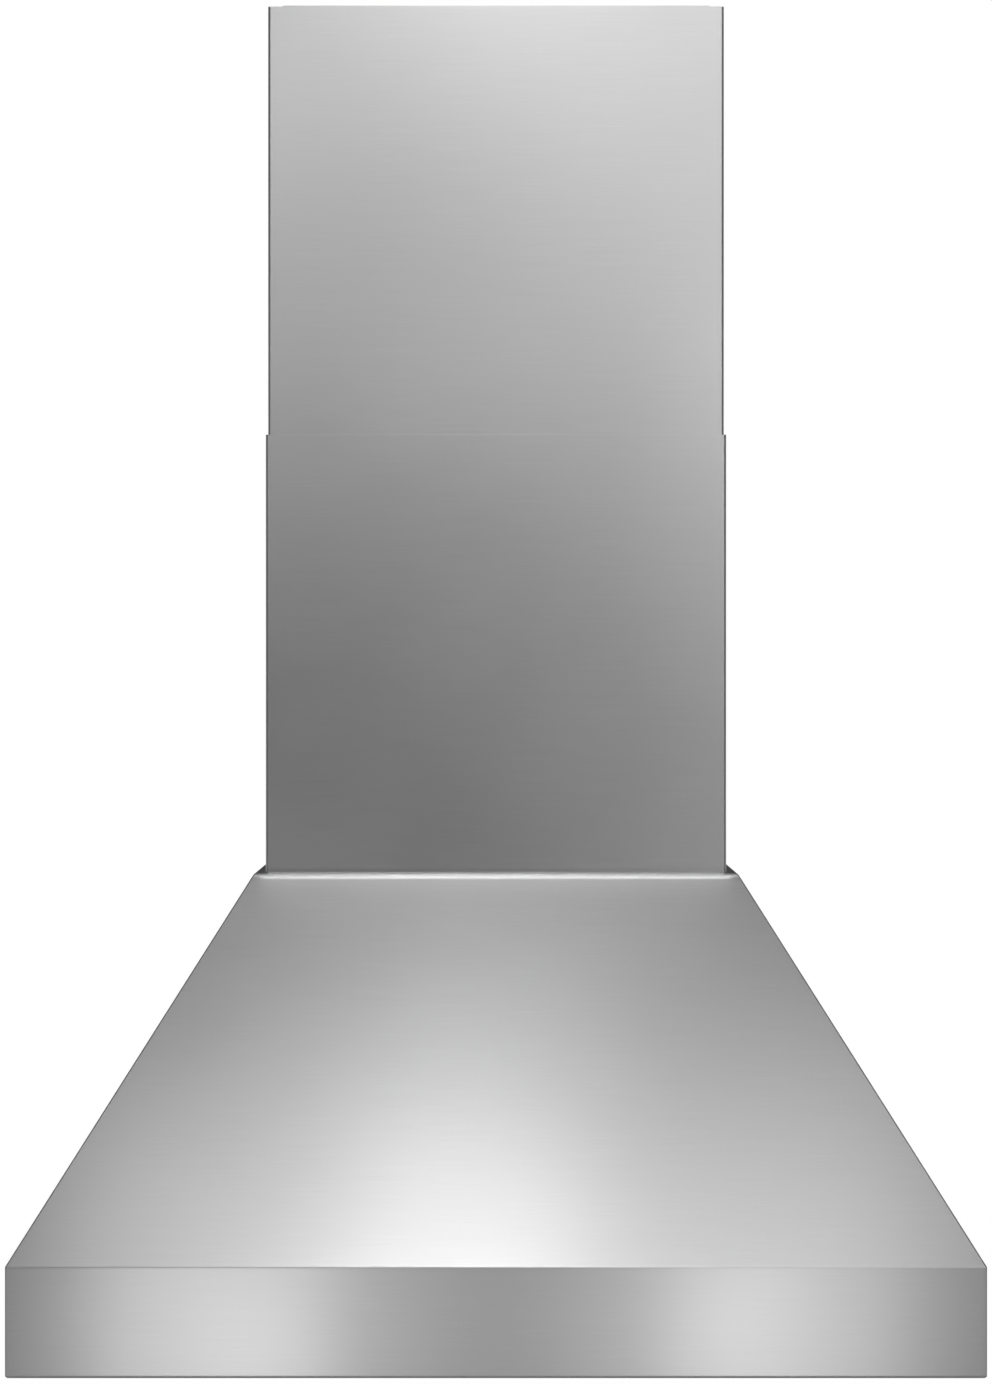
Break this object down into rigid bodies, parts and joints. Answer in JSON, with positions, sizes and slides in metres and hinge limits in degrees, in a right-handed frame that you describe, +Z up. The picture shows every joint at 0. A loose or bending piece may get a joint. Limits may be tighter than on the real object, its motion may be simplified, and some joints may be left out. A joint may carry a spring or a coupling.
{
  "type": "wall mount range hood",
  "caption": "Stainless wall mount range hood: pyramid canopy with a box lip, telescoping duct cover, baffle filters, lamps, knobs, centrifugal blower and damper collar.",
  "frame": {"origin": "centre of the four wall screw holes, in the wall plane at the back of the canopy", "axes": "+X to the right as seen from the room, +Y into the wall, +Z up; the front faces -Y"},
  "size_m": [0.914, 0.61, 1.32],
  "materials": {
    "stainless": "fine horizontal brush",
    "tray_steel": "satin",
    "filter_steel": "satin",
    "bright_wire": "polished",
    "galvanised": "zinc coated, dull",
    "wheel_steel": "zinc coated, dull",
    "shaft_steel": "ground",
    "motor_paint": "semi-gloss",
    "capacitor_case": "matte",
    "knob_black": "fine matte",
    "switch_black": "matte",
    "lamp_glass": "frosted",
    "lamp_alloy": "cast, satin",
    "zinc_screw": "zinc plated"
  },
  "bodies": {
    "hood": {"canopy_front": "stainless", "canopy_side_left": "stainless", "canopy_side_right": "stainless", "canopy_top": "stainless", "back_panel": "galvanised", "control_panel": "stainless", "side_rail_left": "stainless", "side_rail_right": "stainless", "rear_rail": "galvanised", "tray_runners": "galvanised", "lamp_trim_left": "stainless", "lamp_lens_left": "lamp_glass", "lamp_trim_right": "stainless", "lamp_lens_right": "lamp_glass", "lamp_cans": "lamp_alloy", "knob_bezels": "stainless", "control_switches": "switch_black", "blower_scroll": "galvanised", "blower_side_left": "galvanised", "blower_side_right": "galvanised", "blower_flange": "galvanised", "motor": "motor_paint", "motor_bracket": "galvanised", "capacitor": "capacitor_case", "duct_collar": "galvanised", "damper_pin": "shaft_steel", "lower_cover": "stainless", "junction_box": "galvanised", "junction_lid": "galvanised", "control_box": "switch_black", "deck_screws": "zinc_screw", "cover_screws": "zinc_screw"},
    "upper_cover": {"upper_cover": "stainless", "cover_bracket": "galvanised", "bracket_screws": "zinc_screw"},
    "fan": {"fan_wheel": "wheel_steel", "motor_shaft": "shaft_steel"},
    "damper_front": {"damper_flap_front": "galvanised"},
    "damper_rear": {"damper_flap_rear": "galvanised"},
    "fan_knob": {"fan_knob": "knob_black", "fan_shaft": "shaft_steel"},
    "light_knob": {"light_knob": "knob_black", "light_shaft": "shaft_steel"},
    "tray": {"grease_tray": "tray_steel"},
    "filter_left": {"filter_left_frame": "filter_steel", "filter_left_lower_baffles": "filter_steel", "filter_left_upper_baffles": "filter_steel", "filter_left_ears": "filter_steel"},
    "handle_left": {"filter_left_handle": "bright_wire"},
    "filter_middle": {"filter_middle_frame": "filter_steel", "filter_middle_lower_baffles": "filter_steel", "filter_middle_upper_baffles": "filter_steel", "filter_middle_ears": "filter_steel"},
    "handle_middle": {"filter_middle_handle": "bright_wire"},
    "filter_right": {"filter_right_frame": "filter_steel", "filter_right_lower_baffles": "filter_steel", "filter_right_upper_baffles": "filter_steel", "filter_right_ears": "filter_steel"},
    "handle_right": {"filter_right_handle": "bright_wire"}
  },
  "joints": [
    {"name": "upper_cover_slide", "type": "slide", "parent": "hood", "child": "upper_cover", "axis": [0, 0, 1], "range_m": [-0.38, 0]},
    {"name": "fan_spin", "type": "hinge", "parent": "hood", "child": "fan", "pos_m": [0, -0.24949, 0.025], "axis": [1, 0, 0], "continuous": true},
    {"name": "damper_front_hinge", "type": "hinge", "parent": "hood", "child": "damper_front", "pos_m": [0, -0.1525, 0.2132], "axis": [-1, 0, 0], "range_deg": [0, 80]},
    {"name": "damper_rear_hinge", "type": "hinge", "parent": "hood", "child": "damper_rear", "pos_m": [0, -0.1525, 0.2132], "axis": [1, 0, 0], "range_deg": [0, 80]},
    {"name": "fan_knob_turn", "type": "hinge", "parent": "hood", "child": "fan_knob", "pos_m": [-0.042, -0.525, -0.235], "axis": [0, 0, -1], "range_deg": [0, 270]},
    {"name": "light_knob_turn", "type": "hinge", "parent": "hood", "child": "light_knob", "pos_m": [0.042, -0.525, -0.235], "axis": [0, 0, -1], "range_deg": [0, 90]},
    {"name": "tray_slide", "type": "slide", "parent": "hood", "child": "tray", "axis": [0, -1, 0], "range_m": [0, 0.05]},
    {"name": "filter_left_lift", "type": "slide", "parent": "hood", "child": "filter_left", "axis": [0, -0.9848, 0.1736], "range_m": [0, 0.016]},
    {"name": "filter_middle_lift", "type": "slide", "parent": "hood", "child": "filter_middle", "axis": [0, -0.9848, 0.1736], "range_m": [0, 0.016]},
    {"name": "filter_right_lift", "type": "slide", "parent": "hood", "child": "filter_right", "axis": [0, -0.9848, 0.1736], "range_m": [0, 0.016]},
    {"name": "handle_left_hinge", "type": "hinge", "parent": "filter_left", "child": "handle_left", "pos_m": [-0.28417, -0.26597, -0.20273], "axis": [1, 0, 0], "range_deg": [-95, 75]},
    {"name": "handle_middle_hinge", "type": "hinge", "parent": "filter_middle", "child": "handle_middle", "pos_m": [0, -0.26597, -0.20273], "axis": [1, 0, 0], "range_deg": [-95, 75]},
    {"name": "handle_right_hinge", "type": "hinge", "parent": "filter_right", "child": "handle_right", "pos_m": [0.28417, -0.26597, -0.20273], "axis": [1, 0, 0], "range_deg": [-95, 75]}
  ]
}
